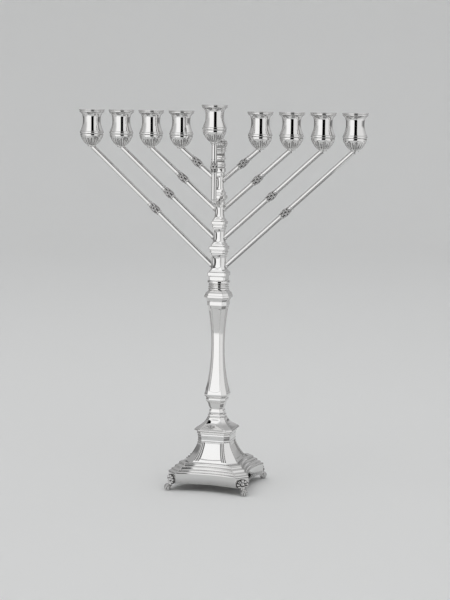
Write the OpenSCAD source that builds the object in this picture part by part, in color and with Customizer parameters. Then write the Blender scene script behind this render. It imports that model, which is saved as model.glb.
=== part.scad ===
// Nine-light menorah on a square canted base, with straight raked arms and a
// removable servant light standing in front of the column.
// Frame: millimetres, +Z up, +X along the row of cups, -Y towards the servant
// light, origin on the column's axis at the level of the foot soles.

/* [Overall] */
// Height of the eight side cups' rims above the soles
side_rim_z = 399.5; // [397:0.5:401]
// Extra height of the servant cup's rim
servant_rise = 6.5; // [4:0.5:12]

/* [Arms] */
// Distance from the column's axis to the innermost cups
arm_first_x = 43; // [42:0.5:45]
// Distance from one cup to the next
arm_pitch = 33.4; // [31:0.1:35]
// Diameter of the arm tubes
arm_d = 5.4; // [4.8:0.1:5.4]
// Height at which the lowest arm's centreline meets the column's axis
arm_foot_z = 230; // [229.5:0.1:230.5]
// Distance up the column from one pair of arms to the next
arm_rise = 31.4; // [31.2:0.1:31.6]
// How far below the rims the arms' centrelines reach the cups' axes
arm_head_drop = 38.8; // [38:0.1:39.5]

/* [Cups] */
// Diameter of the rolled rim
cup_rim_d = 27.4; // [26.8:0.1:28]
// Diameter of the waist under the flared mouth
cup_neck_d = 19; // [18.4:0.1:20]
// Diameter of the belly
cup_belly_d = 25.1; // [24:0.1:26]
// Height from the collar's underside to the rim
cup_h = 39.6; // [39:0.1:40.5]
// Diameter of the straight well that takes the light
well_d = 15; // [14:0.1:15.4]
// Depth of the well's floor below the rim
well_depth = 30; // [28:0.5:30.5]

/* [Sleeves] */
// Length of a bud sleeve along its arm
sleeve_l = 15.5; // [14:0.5:17]
// Greatest diameter of a bud sleeve
sleeve_d = 8.4; // [8.2:0.1:9]
// Distance from the column's axis to the first sleeve's middle
sleeve_first_x = 26; // [25:0.5:27]
// Distance from one sleeve to the next
sleeve_pitch = 15.4; // [15:0.1:16]

/* [Servant light] */
// Distance of the servant rod in front of the column's axis
servant_reach = 23; // [21:0.5:25]
// Height of the joint between the rod and its socket
servant_seat_z = 308.3; // [307.5:0.1:309]
// Diameter of the peg under the rod
peg_d = 3; // [2.6:0.1:3.1]
// Length of the peg
peg_l = 3.6; // [3:0.1:3.7]

/* [Base] */
// Half the base's width across its flat sides
base_half = 44; // [43:0.5:46]
// Depth to which each side of the apron curves in
base_sag = 5.5; // [4:0.5:6]
// Thickness of the base's pressed metal
base_wall = 1.8; // [1.4:0.1:2.2]
// Radius of the feet's round toes
toe_r = 3.9; // [3.6:0.1:4.2]

/* [Hidden] */
$fn = 48;

fit_gap = 0.05;                 // radial gap of a soldered or screwed fit
slide_gap = 0.15;               // radial gap of the servant peg in its socket
side_x = [for (i = [0:3]) arm_first_x + i * arm_pitch];
arm_axis_z = [for (i = [0:3]) arm_foot_z + (3 - i) * arm_rise];
arm_head_z = side_rim_z - arm_head_drop;
arm_angle = [for (i = [0:3]) atan((arm_head_z - arm_axis_z[i]) / side_x[i])];
servant_rim_z = side_rim_z + servant_rise;

// Column: half widths of the four shafts at the level where the arms enter
shaft_half = [3.6, 4.3, 5.6, 7.3];
ferrule_d = 5.8;                // upright end of an arm or of the servant rod
ferrule_drop = 1.8;             // how far a ferrule shows under its cup
spigot_d = 3.2;                 // peg on an arm's lower end
spigot_end = 1.9;               // where that peg stops, measured from the axis
column_z = [222, 254, 281, 306.5, 335, 369];

// Screws and tie rod
tie_d = 5;
tie_bottom_z = 45;
tie_top_z = 228.3;
washer_d = 16;
washer_t = 1.6;
nut_across = 8;
nut_t = 4;
screw_d = 3;
screw_head_d = 6;
screw_head_t = 2;
cup_socket_l = 6;               // depth of the cup's underside socket for the arm's end
cup_screw_l = 6.6;              // shank

// Base levels
apron_z0 = 8.1;
apron_z1 = 19.6;
plinth_z1 = 28.5;
bell_z1 = 57.5;
bell_floor_t = 2.5;             // thickness of the bell's closed top
shoulder_z1 = 74.5;
knop_z1 = 85.5;
baluster_z1 = 199.5;
baluster_knop_z1 = 211;
corner_cut = 11.3;              // leg of the base's canted corner
sweep_r = (pow(base_half - corner_cut, 2) + pow(base_sag, 2)) / (2 * base_sag);
plinth_hole_d = 50;             // opening in the plinth's top, under the bell
foot_diag = base_half * sqrt(2) - corner_cut / sqrt(2);
corner_wall = foot_diag * base_wall / base_half;    // wall behind a foot
toe_diag = foot_diag + 4.9;
foot_screw_z = 13;
foot_screw_l = 4.2;             // shank
plaque_half = 7.4;              // half the width of a foot's plaque
plaque_r = 5.2;
plaque_t = 2.8;

// ---- Outlines ----
// A curve is a list of [half width, height, corner cut]. Three or more points are
// joined by a smooth curve, and separate curves are joined by straight lines.
function between(a, b, c, d, t) =
    (2 * b + (c - a) * t + (2 * a - 5 * b + 4 * c - d) * t * t
    + (3 * b - a - 3 * c + d) * t * t * t) / 2;
function smooth(k, n = 4) = len(k) < 3 ? k : [
    for (i = [0:len(k) - 2], s = [0:n - 1])
        between(k[max(i - 1, 0)], k[i], k[i + 1], k[min(i + 2, len(k) - 1)], s / n),
    k[len(k) - 1]];
function outline(curves) = [for (c = curves) each smooth(c)];
function mirrored(side) =
    concat(side, [for (i = [len(side) - 1:-1:0]) [-side[i].x, side[i].y]]);

module slab(side, turn) {
    rotate([0, 0, turn]) rotate([90, 0, 0])
        linear_extrude(200, center = true) polygon(mirrored(side));
}

// A square piece with canted corners, its outline the same on all four sides
module squared(curves) {
    points = outline(curves);
    flats = [for (p = points) [p.x, p.y]];
    cants = [for (p = points) [(2 * p.x - p.z) / sqrt(2), p.y]];
    intersection() {
        slab(flats, 0);
        slab(flats, 90);
        slab(cants, 45);
        slab(cants, 135);
    }
}

// A turned piece
module turned(curves) {
    points = [for (p = outline(curves)) [p.x, p.y]];
    last = points[len(points) - 1];
    rotate_extrude() polygon(concat([[0, points[0].y]], points, [[0, last.y]]));
}

// A drilled hole along Z from z0 to z1
module hole(d, z0, z1) {
    translate([0, 0, z0]) cylinder(d = d, h = z1 - z0);
}

// ---- Base ----
// A block with the apron's outline, scaled to the given half width
module concave_block(half, z0, z1) {
    k = half / base_half;
    difference() {
        squared([[[half, z0, corner_cut * k], [half, z1, corner_cut * k]]]);
        for (turn = [0:90:270]) rotate([0, 0, turn])
            translate([k * (sweep_r + base_half - base_sag), 0, z0 - 1])
                cylinder(r = k * sweep_r, h = z1 - z0 + 2, $fn = 180);
    }
}

module base_plinth() {
    // how far each step stands in from the apron, and its top
    steps = [[0, apron_z1], [2.6, 22], [6, 25], [9.5, plinth_z1]];
    color("silver") difference() {
        union() for (s = steps) concave_block(base_half - s[0], apron_z0, s[1]);
        union() for (s = steps)
            concave_block(base_half - s[0] - base_wall, apron_z0 - 1, s[1] - base_wall);
        hole(plinth_hole_d, plinth_z1 - base_wall - 1, plinth_z1 + 1);
        for (turn = [45:90:315]) rotate([0, 0, turn])
            translate([foot_diag - 8, 0, foot_screw_z]) rotate([0, 90, 0])
                cylinder(d = screw_d + 2 * fit_gap, h = 16);
    }
}

module base_bell() {
    color("silver") difference() {
        squared([[[28.9, plinth_z1, 9.2], [23.3, 37, 7.4], [18.9, 45, 5.6], [17.7, 51, 5]],
            [[17.8, bell_z1, 5]]]);
        squared([[[26.9, plinth_z1 - 1, 8.6], [21.5, 36, 6.8], [17.2, 44, 5.2], [15.8, 49, 4.6]],
            [[15.8, bell_z1 - bell_floor_t, 4.6]]]);
        hole(tie_d + 4 * fit_gap, bell_z1 - 10, bell_z1 + 1);
    }
}

module base_shoulder() {
    color("silver") difference() {
        squared([[[18.4, bell_z1, 5.2], [18.4, 59.5, 5.2]],
            [[20, 60.5, 5.6], [20.9, 61.6, 5.8], [20.6, 63, 5.8], [18, 65, 5.2], [13, 68.5, 4.4],
                [10.2, 72, 3.8]],
            [[9.6, shoulder_z1, 3.6]]]);
        hole(tie_d + 4 * fit_gap, bell_z1 - 1, shoulder_z1 + 1);
    }
}

module base_knop() {
    color("silver") difference() {
        squared([[[8.4, shoulder_z1, 3.1], [9, 76, 3.3], [9, 78.6, 3.3], [8, 80, 3]],
            [[7.6, 81, 2.8], [7.3, 83, 2.7], [7.4, knop_z1, 2.7]]]);
        hole(tie_d + 4 * fit_gap, shoulder_z1 - 1, knop_z1 + 1);
    }
}

// One foot: a wide plaque against the canted corner, over a ball toe
module foot(turn) {
    color("silver") rotate([0, 0, turn]) difference() {
        union() {
            translate([foot_diag, 0, foot_screw_z - 1.4]) rotate([0, 90, 0]) {
                for (side = [-1, 1]) translate([0, side * (plaque_half - plaque_r), 0])
                    cylinder(r = plaque_r, h = plaque_t);
                translate([0, 0, plaque_t]) sphere(r = 2.2);
            }
            intersection() {
                translate([toe_diag, 0, toe_r - 0.4]) sphere(r = toe_r);
                translate([toe_diag - 10, -10, 0]) cube(20);
            }
            translate([foot_diag, -2.4, 3]) cube([toe_diag - foot_diag, 4.8, 4]);
        }
        translate([foot_diag - 1, 0, foot_screw_z]) rotate([0, 90, 0])
            cylinder(d = screw_d + 2 * fit_gap, h = foot_screw_l - corner_wall + 1.3);
    }
}

module foot_front_left() { foot(225); }
module foot_front_right() { foot(315); }
module foot_back_left() { foot(135); }
module foot_back_right() { foot(45); }

// Pan-head screw, its head's underside at the origin and its shank along -Z
module screw(length) {
    color("gray") union() {
        cylinder(d = screw_head_d, h = screw_head_t);
        translate([0, 0, -length]) cylinder(d = screw_d, h = length);
    }
}

module foot_screws() {
    for (turn = [45:90:315]) rotate([0, 0, turn])
        translate([foot_diag - corner_wall, 0, foot_screw_z]) rotate([0, -90, 0])
            screw(foot_screw_l);
}

// ---- Stem ----
module baluster() {
    color("silver") difference() {
        squared([[[8.4, knop_z1, 3.1], [8.8, 89, 3.3], [10.6, 92.5, 3.9]],
            [[11.4, 94.5, 4.2], [12.2, 99, 4.5], [11.6, 104, 4.3], [9.25, 114, 3.4], [7, 132, 2.6],
                [6.3, 152, 2.3], [6.9, 170, 2.6], [8.8, 189, 3.3], [10, 194, 3.8]],
            [[10.6, 195, 4], [10.6, baluster_z1, 4]]]);
        hole(8.4, knop_z1 - 1, baluster_z1 + 1);
    }
}

module baluster_knop() {
    color("silver") difference() {
        squared([[[11, baluster_z1, 4.1], [12.9, 201.6, 4.7], [13.5, 204.4, 4.9], [12.8, 207.4, 4.7],
            [10.8, 209.6, 4]], [[9.8, baluster_knop_z1, 3.8]]]);
        hole(8.4, baluster_z1 - 1, baluster_knop_z1 + 1);
    }
}

module washer_ring(r, z0, z1) {
    middle = (z0 + z1) / 2;
    color("silver") difference() {
        turned([[[r - 0.9, z0, 0], [r, middle, 0], [r - 0.9, z1, 0]]]);
        hole(tie_d + 4 * fit_gap, z0 - 1, z1 + 1);
    }
}

module ring_lower() { washer_ring(11, baluster_knop_z1, 213.6); }
module ring_middle() { washer_ring(10.9, 213.6, 217.6); }
module ring_upper() { washer_ring(11.8, 217.6, column_z[0]); }

// ---- Column ----
// Holes for the pegs of one pair of arms, and the stub of the piece above
module arm_holes(i) {
    for (side = [0, 180]) rotate([0, 0, side])
        translate([0, 0, arm_axis_z[i]]) rotate([0, 90 - arm_angle[i], 0])
            translate([0, 0, spigot_end]) cylinder(d = spigot_d + 2 * fit_gap, h = 20);
}

module stub(z, length, d) {
    translate([0, 0, z - length]) cylinder(d = d, h = length + 1);
}

stub_d = [3.6, 3.6, 3, 2.6];    // stubs under the second, third and fourth shafts and the capital
stub_l = 3;

module column_1() {
    h = shaft_half[3];
    color("silver") difference() {
        squared([[[9.4, column_z[0], 2], [9, 223.5, 1.6], [9, 226, 1.4]],
            [[10.1, 226.8, 0.9], [10.1, 230, 0.9]], [[8.8, 231.4, 1.6], [h, 233, 2.7]],
            [[h, 247.5, 2.7], [7.6, 249.5, 2.6], [8.2, 250.6, 2.4]],
            [[7.9, 251.4, 2.2], [7.9, 252.6, 2.2]], [[8.6, column_z[1], 1.4]]]);
        arm_holes(3);
        hole(tie_d + 2 * fit_gap, column_z[0] - 1, tie_top_z);
        hole(stub_d[0] + 2 * fit_gap, column_z[1] - stub_l, column_z[1] + 1);
    }
}

module column_2() {
    h = shaft_half[2];
    color("silver") difference() {
        union() {
            squared([[[9.1, column_z[1], 0.9], [9.1, 257, 0.9]], [[7.4, 258.6, 1.6], [h, 261.5, 2.1]],
                [[h, 274, 2.1], [6, 276.4, 2], [6.6, 277.6, 1.8]],
                [[6.3, 278.4, 1.6], [6.3, 279.6, 1.6]], [[7, column_z[2], 1.2]]]);
            stub(column_z[1], stub_l, stub_d[0]);
        }
        arm_holes(2);
        hole(stub_d[1] + 2 * fit_gap, column_z[2] - stub_l, column_z[2] + 1);
    }
}

module column_3() {
    h = shaft_half[1];
    color("silver") difference() {
        union() {
            squared([[[7.5, column_z[2], 1.2], [7.5, 284, 1.2]], [[6, 285.4, 1.5], [h, 288.5, 1.6]],
                [[h, 300.6, 1.6]], [[5.2, 302.4, 1.7], [5.2, 305, 1.7]], [[5.8, column_z[3], 1.2]]]);
            stub(column_z[2], stub_l, stub_d[1]);
        }
        arm_holes(1);
        hole(stub_d[2] + 2 * fit_gap, column_z[3] - stub_l, column_z[3] + 1);
        translate([0, 0, servant_arm_z]) rotate([90, 0, 0])
            translate([0, 0, bracket_end]) cylinder(d = bracket_peg_d + 2 * fit_gap, h = 20);
    }
}

module column_4() {
    h = shaft_half[0];
    color("silver") difference() {
        union() {
            squared([[[5.9, column_z[3], 1.2], [6.8, 308.4, 0.9], [6.8, 311.2, 0.9], [5.8, 312.6, 1.2]],
                [[5.5, 314.2, 1.2]], [[4.5, 316.4, 1.3], [h, 319.5, 1.4]],
                [[h, 332, 1.4]], [[4.3, 333.6, 1.2], [4.3, column_z[4], 1.2]]]);
            stub(column_z[3], stub_l, stub_d[2]);
        }
        arm_holes(0);
        hole(stub_d[3] + 2 * fit_gap, column_z[4] - stub_l, column_z[4] + 1);
    }
}

module capital() {
    color("silver") difference() {
        union() {
            squared([[[4.6, column_z[4], 1.2], [5.2, 337.4, 1.3], [4.6, 340, 1.2]],
                [[5.2, 341.2, 1.3], [5.2, 344.4, 1.3]], [[4.1, 345.6, 1.1], [4.1, 348.4, 1.1]],
                [[5.2, 349.4, 1.3], [5.2, 351, 1.3]], [[4.2, 352.4, 1.1], [4.2, 356.2, 1.1]],
                [[5, 357.6, 1.2], [5.4, 359.4, 1.3], [5.3, 361.6, 1.3]],
                [[6.2, 363, 1.4], [6.5, 365.6, 1.4], [6.2, 368, 1.4]], [[5.6, column_z[5], 1.3]]]);
            stub(column_z[4], stub_l, stub_d[3]);
        }
        hole(screw_d, column_z[5] - 5, column_z[5] + 1);
    }
}

module finial() {
    color("silver") union() {
        turned([[[4.6, column_z[5], 0], [4.6, 370, 0]],
            [[3.4, 370.6, 0], [3.9, 372.6, 0], [3.2, 374.8, 0], [1.4, 376, 0]], [[0.4, 376.2, 0]]]);
        translate([0, 0, column_z[5] - 4.5]) cylinder(d = screw_d - 2 * fit_gap, h = 5);
    }
}

// ---- Tie rod through the stem ----
washer_top_z = bell_z1 - bell_floor_t;
module tie_rod() { color("gray") hole(tie_d, tie_bottom_z, tie_top_z); }

module tie_washer() {
    color("gray") difference() {
        hole(washer_d, washer_top_z - washer_t, washer_top_z);
        hole(tie_d + 4 * fit_gap, 0, bell_z1);
    }
}

module tie_nut() {
    z1 = washer_top_z - washer_t;
    color("gray") difference() {
        translate([0, 0, z1 - nut_t]) cylinder(d = nut_across / cos(30), h = nut_t, $fn = 6);
        hole(tie_d + 2 * fit_gap, 0, bell_z1);
    }
}

// ---- Arms ----
// Arm number i + 1, to the left (side = -1) or the right (side = 1)
module arm(i, side) {
    angle = arm_angle[i];
    face_s = shaft_half[i] / cos(angle);
    head_s = side_x[i] / cos(angle);
    cup_bottom_z = side_rim_z - cup_h;
    color("silver") rotate([0, 0, side > 0 ? 0 : 180]) difference() {
        union() {
            // the tube, its shoulder cut flat to lie against the shaft's face
            difference() {
                translate([0, 0, arm_axis_z[i]]) rotate([0, 90 - angle, 0])
                    hole(arm_d, face_s - 4, head_s);
                translate([shaft_half[i] - 20, -10, arm_axis_z[i] - 10]) cube([20, 20, 40]);
            }
            // the peg that enters the shaft
            translate([0, 0, arm_axis_z[i]]) rotate([0, 90 - angle, 0])
                hole(spigot_d, spigot_end + 0.1, face_s + 4);
            // the upright ferrule that enters the cup
            translate([side_x[i], 0, 0])
                hole(ferrule_d, cup_bottom_z - ferrule_drop, cup_bottom_z + cup_socket_l);
        }
        translate([side_x[i], 0, cup_bottom_z]) hole(screw_d, 0.5, cup_socket_l + 1);
    }
}

module arm_left_1() { arm(0, -1); }
module arm_left_2() { arm(1, -1); }
module arm_left_3() { arm(2, -1); }
module arm_left_4() { arm(3, -1); }
module arm_right_1() { arm(0, 1); }
module arm_right_2() { arm(1, 1); }
module arm_right_3() { arm(2, 1); }
module arm_right_4() { arm(3, 1); }

// A bud-shaped sleeve on a tube along Z, its middle at the origin, its wide end down
module bud() {
    r = sleeve_d / 2;
    difference() {
        translate([0, 0, -sleeve_l / 2])
            turned([[[r * 0.74, 0, 0], [r * 0.78, 0.8, 0]],
                [[r * 0.84, 1.2, 0], [r, sleeve_l * 0.3, 0], [r * 0.86, sleeve_l * 0.6, 0],
                    [r * 0.74, sleeve_l * 0.85, 0]],
                [[r * 0.72, sleeve_l, 0]]]);
        hole(arm_d + 2 * fit_gap, -sleeve_l, sleeve_l);
    }
}

module sleeve(i, side) {
    x = sleeve_first_x + i * sleeve_pitch;
    color("silver") rotate([0, 0, side > 0 ? 0 : 180])
        translate([x, 0, arm_axis_z[i] + x * tan(arm_angle[i])])
            rotate([0, 90 - arm_angle[i], 0]) bud();
}

module sleeve_left_1() { sleeve(0, -1); }
module sleeve_left_2() { sleeve(1, -1); }
module sleeve_left_3() { sleeve(2, -1); }
module sleeve_left_4() { sleeve(3, -1); }
module sleeve_right_1() { sleeve(0, 1); }
module sleeve_right_2() { sleeve(1, 1); }
module sleeve_right_3() { sleeve(2, 1); }
module sleeve_right_4() { sleeve(3, 1); }

// ---- Cups ----
// A cup with its rim's centre at the origin
module cup_body() {
    rim = cup_rim_d / 2;
    neck = cup_neck_d / 2;
    belly = cup_belly_d / 2;
    well = well_d / 2;
    collar_r = 4.25;
    difference() {
        turned([[[collar_r, -cup_h, 0], [collar_r, -38.4, 0]],
            [[5.2, -38.1, 0], [7.3, -36.4, 0], [9.4, -33.8, 0], [11, -31, 0], [12, -28.4, 0]],
            [[belly - 0.2, -27.4, 0], [belly, -25, 0], [belly - 0.6, -22.2, 0], [neck + 1.2, -18.4, 0],
                [neck, -12.6, 0], [neck + 0.2, -8, 0], [11.2, -4.7, 0], [rim - 1, -2, 0]],
            [[rim, -1.4, 0], [rim, -0.5, 0]], [[rim - 0.5, 0, 0]]]);
        translate([0, 0, -well_depth]) cylinder(d = well_d, h = well_depth + 1);
        translate([0, 0, -11]) cylinder(r1 = well, r2 = 9.8, h = 6.3);
        translate([0, 0, -4.701]) cylinder(r1 = 9.8, r2 = rim - 1.3, h = 4.702);
        hole(ferrule_d + 2 * fit_gap, -cup_h - 1, -cup_h + cup_socket_l + 0.1);
        hole(screw_d + 2 * fit_gap, -cup_h, -well_depth + 1);
        hole(screw_head_d + 2 * fit_gap, -well_depth - screw_head_t, -well_depth + 1);
    }
}

// Side cup number i + 1, its collar relieved for the raked arm
module side_cup(i, side) {
    color("silver") rotate([0, 0, side > 0 ? 0 : 180]) difference() {
        translate([side_x[i], 0, side_rim_z]) cup_body();
        translate([side_x[i], 0, arm_head_z]) rotate([0, -90 - arm_angle[i], 0])
            hole(arm_d + 2 * fit_gap, -1, 15);
    }
}

module cup_left_1() { side_cup(0, -1); }
module cup_left_2() { side_cup(1, -1); }
module cup_left_3() { side_cup(2, -1); }
module cup_left_4() { side_cup(3, -1); }
module cup_right_1() { side_cup(0, 1); }
module cup_right_2() { side_cup(1, 1); }
module cup_right_3() { side_cup(2, 1); }
module cup_right_4() { side_cup(3, 1); }

module cup_screws() {
    for (x = side_x, side = [-1, 1])
        translate([side * x, 0, side_rim_z - well_depth - screw_head_t]) screw(cup_screw_l);
}

// ---- Servant light ----
elbow_r = 3.5;
socket_l = 1.2;                 // straight length of the socket above the elbow
bracket_d = 5.6;
bracket_root = 5.85;            // where the bracket's full thickness starts, measured from the axis
bracket_peg_d = 4;
bracket_end = 3.2;              // where the bracket's peg stops, measured from the axis
servant_arm_z = servant_seat_z - socket_l - elbow_r;

module servant_bracket() {
    color("silver") difference() {
        union() {
            translate([0, -servant_reach, servant_seat_z - socket_l]) cylinder(d = bracket_d, h = socket_l);
            translate([0, elbow_r - servant_reach, servant_seat_z - socket_l]) rotate([0, 90, 0])
                rotate([0, 0, -90]) rotate_extrude(angle = 90)
                    translate([elbow_r, 0]) circle(d = bracket_d);
            translate([0, -bracket_root, servant_arm_z]) rotate([90, 0, 0])
                cylinder(d = bracket_d, h = servant_reach - elbow_r - bracket_root);
            translate([0, -bracket_end - 0.1, servant_arm_z]) rotate([90, 0, 0])
                cylinder(d = bracket_peg_d, h = bracket_root - bracket_end + 1);
        }
        translate([0, -servant_reach, 0])
            hole(peg_d + 2 * slide_gap, servant_seat_z - peg_l - 0.3, servant_seat_z + 1);
    }
}

module servant_rod() {
    cup_bottom_z = servant_rim_z - cup_h;
    color("silver") translate([0, -servant_reach, 0]) difference() {
        union() {
            hole(arm_d, servant_seat_z, cup_bottom_z + 1);
            hole(ferrule_d, cup_bottom_z - ferrule_drop, cup_bottom_z + cup_socket_l);
            hole(peg_d, servant_seat_z - peg_l, servant_seat_z + 1);
        }
        hole(screw_d, cup_bottom_z + 0.5, cup_bottom_z + cup_socket_l + 1);
    }
}

module servant_sleeve() {
    sleeve_z = 342.6;
    color("silver") translate([0, -servant_reach, sleeve_z]) bud();
}

module servant_cup() {
    color("silver") translate([0, -servant_reach, servant_rim_z]) cup_body();
}

module servant_screw() {
    translate([0, -servant_reach, servant_rim_z - well_depth - screw_head_t]) screw(cup_screw_l);
}

base_plinth();
base_bell();
base_shoulder();
base_knop();
foot_front_left();
foot_front_right();
foot_back_left();
foot_back_right();
foot_screws();
baluster();
baluster_knop();
ring_lower();
ring_middle();
ring_upper();
column_1();
column_2();
column_3();
column_4();
capital();
finial();
tie_rod();
tie_washer();
tie_nut();
arm_left_1();
arm_left_2();
arm_left_3();
arm_left_4();
arm_right_1();
arm_right_2();
arm_right_3();
arm_right_4();
sleeve_left_1();
sleeve_left_2();
sleeve_left_3();
sleeve_left_4();
sleeve_right_1();
sleeve_right_2();
sleeve_right_3();
sleeve_right_4();
cup_left_1();
cup_left_2();
cup_left_3();
cup_left_4();
cup_right_1();
cup_right_2();
cup_right_3();
cup_right_4();
cup_screws();
servant_bracket();
servant_rod();
servant_sleeve();
servant_cup();
servant_screw();
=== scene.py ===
"""Nine-light silver menorah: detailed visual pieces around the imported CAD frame.

Lengths inside the shape helpers are millimetres, as in the CAD source, and MM
turns them into Blender's metres. The outlines repeat the CAD's own mouldings
with finer detail, and each piece is placed by the box of the CAD node that it
stands for.
"""
import math

import bpy
from mathutils import Matrix, Vector


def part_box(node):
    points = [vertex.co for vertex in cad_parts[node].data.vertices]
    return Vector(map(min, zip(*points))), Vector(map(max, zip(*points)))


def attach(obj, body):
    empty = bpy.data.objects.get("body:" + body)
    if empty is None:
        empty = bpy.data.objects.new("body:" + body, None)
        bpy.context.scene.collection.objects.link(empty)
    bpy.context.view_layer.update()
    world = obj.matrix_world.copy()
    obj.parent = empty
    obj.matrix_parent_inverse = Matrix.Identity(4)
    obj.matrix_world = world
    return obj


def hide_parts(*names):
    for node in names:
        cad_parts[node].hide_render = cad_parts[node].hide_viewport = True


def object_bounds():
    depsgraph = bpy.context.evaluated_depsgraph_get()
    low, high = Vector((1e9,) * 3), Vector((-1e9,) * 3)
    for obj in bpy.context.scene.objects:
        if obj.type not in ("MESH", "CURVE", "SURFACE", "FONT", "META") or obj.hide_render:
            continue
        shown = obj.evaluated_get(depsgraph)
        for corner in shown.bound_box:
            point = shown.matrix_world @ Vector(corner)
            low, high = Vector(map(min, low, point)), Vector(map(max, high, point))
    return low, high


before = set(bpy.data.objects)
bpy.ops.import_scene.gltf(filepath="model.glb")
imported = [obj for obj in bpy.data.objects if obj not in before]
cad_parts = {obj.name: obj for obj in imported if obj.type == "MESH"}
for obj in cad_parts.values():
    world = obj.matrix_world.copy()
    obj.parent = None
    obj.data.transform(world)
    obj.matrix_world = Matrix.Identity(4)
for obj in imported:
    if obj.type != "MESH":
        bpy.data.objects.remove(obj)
cad_lo, cad_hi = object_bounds()

MM = 0.001
TAU = 2 * math.pi
SIDES = (("left", -1), ("right", 1))
ARM_PLACES = [(side, number) for side, _ in SIDES for number in (1, 2, 3, 4)]  # numbered outwards


# ---- small maths
def clamp01(x):
    return max(0.0, min(1.0, x))


def smoothstep(low, high, x):
    t = clamp01((x - low) / (high - low))
    return t * t * (3 - 2 * t)


def ridge(x, half_width):
    """A rounded bump of height 1 at x = 0 that falls to 0 at half_width."""
    t = clamp01(1 - abs(x) / half_width)
    return math.sin(t * math.pi / 2)


def lerp(a, b, t):
    return a + (b - a) * t


def bezier(start, via, end, t):
    """A place on the curve from start to end that bends towards via."""
    return start * (1 - t) ** 2 + via * 2 * t * (1 - t) + end * t * t


def across_lobe(lobes):
    """The place from -1 to 1 across the lobe that this count of lobes ends in."""
    return (lobes - math.floor(lobes)) * 2 - 1


def circle(segments):
    return [TAU * s / segments for s in range(segments)]


def node_centre(node):
    lo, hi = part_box(node)
    return (lo + hi) / 2


def raised(height, x=0, y=0):
    return Matrix.Translation((x, y, height))


# ---- outlines
CORNER = math.radians(14)  # an outline that turns by less than this stays as it is
CORNER_STEPS = 3
CORNER_SHARE = 0.45  # how much of a line its corner's curve may take up


def through(knots, steps):
    """A smooth curve through three or more knots; fewer knots are kept as they are."""
    if len(knots) < 3:
        return [tuple(k) for k in knots]
    points = []
    for i in range(len(knots) - 1):
        a, b = knots[max(i - 1, 0)], knots[i]
        c, d = knots[i + 1], knots[min(i + 2, len(knots) - 1)]
        for s in range(steps):
            t = s / steps
            points.append(tuple(
                (2 * q + (r - p) * t + (2 * p - 5 * q + 4 * r - w) * t * t
                 + (3 * q - p - 3 * r + w) * t ** 3) / 2
                for p, q, r, w in zip(a, b, c, d)))
    points.append(tuple(knots[-1]))
    return points


def eased(points, radius):
    """The same outline with each hard corner turned into a small curve."""
    out = [points[0]]
    for before, here, after in zip(points, points[1:], points[2:]):
        corner = Vector(here)
        back = Vector(before) - corner
        ahead = Vector(after) - corner
        if min(back.length, ahead.length) < 1e-6:
            continue
        if math.pi - back.xy.angle(ahead.xy, 0.0) < CORNER:
            out.append(here)
            continue
        start = corner + back.normalized() * min(radius, back.length * CORNER_SHARE)
        end = corner + ahead.normalized() * min(radius, ahead.length * CORNER_SHARE)
        out += [tuple(bezier(start, corner, end, s / CORNER_STEPS)) for s in range(CORNER_STEPS + 1)]
    out.append(points[-1])
    return out


def outline(curves, edge=0.25, steps=6):
    """Curves of (half width, height, corner cut) joined by straight lines, corners eased."""
    points = []
    for curve in curves:
        points += through([tuple(k) + (0.0,) * (3 - len(k)) for k in curve], steps)
    return eased(points, edge)


def refine(points, spots, reach=3.5, fine=0.4, coarse=1.6):
    """The same outline with short steps near the heights in spots and longer ones elsewhere."""
    out = [points[0]]
    for a, b in zip(points, points[1:]):
        length = math.dist(a[:2], b[:2])
        near = any(min(a[1], b[1]) - reach < spot < max(a[1], b[1]) + reach for spot in spots)
        steps = max(1, math.ceil(length / (fine if near else coarse)))
        out += [tuple(lerp(p, q, i / steps) for p, q in zip(a, b)) for i in range(1, steps + 1)]
    return out


# ---- mesh making
class Builder:
    """Collects rings of vertices and the faces between them, with a painted shade value for each vertex.
    """

    def __init__(self):
        self.verts, self.faces, self.recess_shade = [], [], []

    def ring(self, points, recess_shade=None):
        start = len(self.verts)
        self.verts += points
        self.recess_shade += recess_shade if recess_shade is not None else [0.0] * len(points)
        return list(range(start, start + len(points)))

    def bridge(self, lower, upper):
        n = len(lower)
        for i in range(n):
            j = (i + 1) % n
            self.faces.append((lower[i], lower[j], upper[j], upper[i]))

    def bridge_all(self, rings):
        for lower, upper in zip(rings, rings[1:]):
            self.bridge(lower, upper)

    def cap(self, ring, centre, flip):
        """A fan over a ring; flip is true under a piece."""
        middle = len(self.verts)
        self.verts.append(tuple(centre))
        self.recess_shade.append(0.0)
        n = len(ring)
        for i in range(n):
            a, b = ring[i], ring[(i + 1) % n]
            self.faces.append((b, a, middle) if flip else (a, b, middle))

    def cap_ends(self, rings, low, high):
        """Fans under the first ring and over the last, with their middles on the Z axis."""
        self.cap(rings[0], (0, 0, low), True)
        self.cap(rings[-1], (0, 0, high), False)

    def move(self, matrix, start=0):
        for i in range(start, len(self.verts)):
            self.verts[i] = tuple(matrix @ Vector(self.verts[i]))


def new_mesh(name, verts, faces, material):
    mesh = bpy.data.meshes.new(name)
    mesh.from_pydata(verts, [], faces)
    mesh.materials.append(material)
    return mesh


def in_scene(name, data):
    thing = bpy.data.objects.new(name, data)
    bpy.context.scene.collection.objects.link(thing)
    return thing


def new_piece(name, build, body, node, material):
    """A smooth-shaded piece of what a builder holds, riding on a body in place of a CAD node."""
    mesh = new_mesh(name, [tuple(c * MM for c in v) for v in build.verts], build.faces, material)
    mesh.update()
    mesh.shade_smooth()
    # painted shade: each vertex's value goes to an attribute that darkens the metal's colour
    shade = mesh.attributes.new("recess_shade", "FLOAT", "POINT")
    shade.data.foreach_set("value", build.recess_shade)
    piece = in_scene(name, mesh)
    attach(piece, body)
    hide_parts(node)


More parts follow.
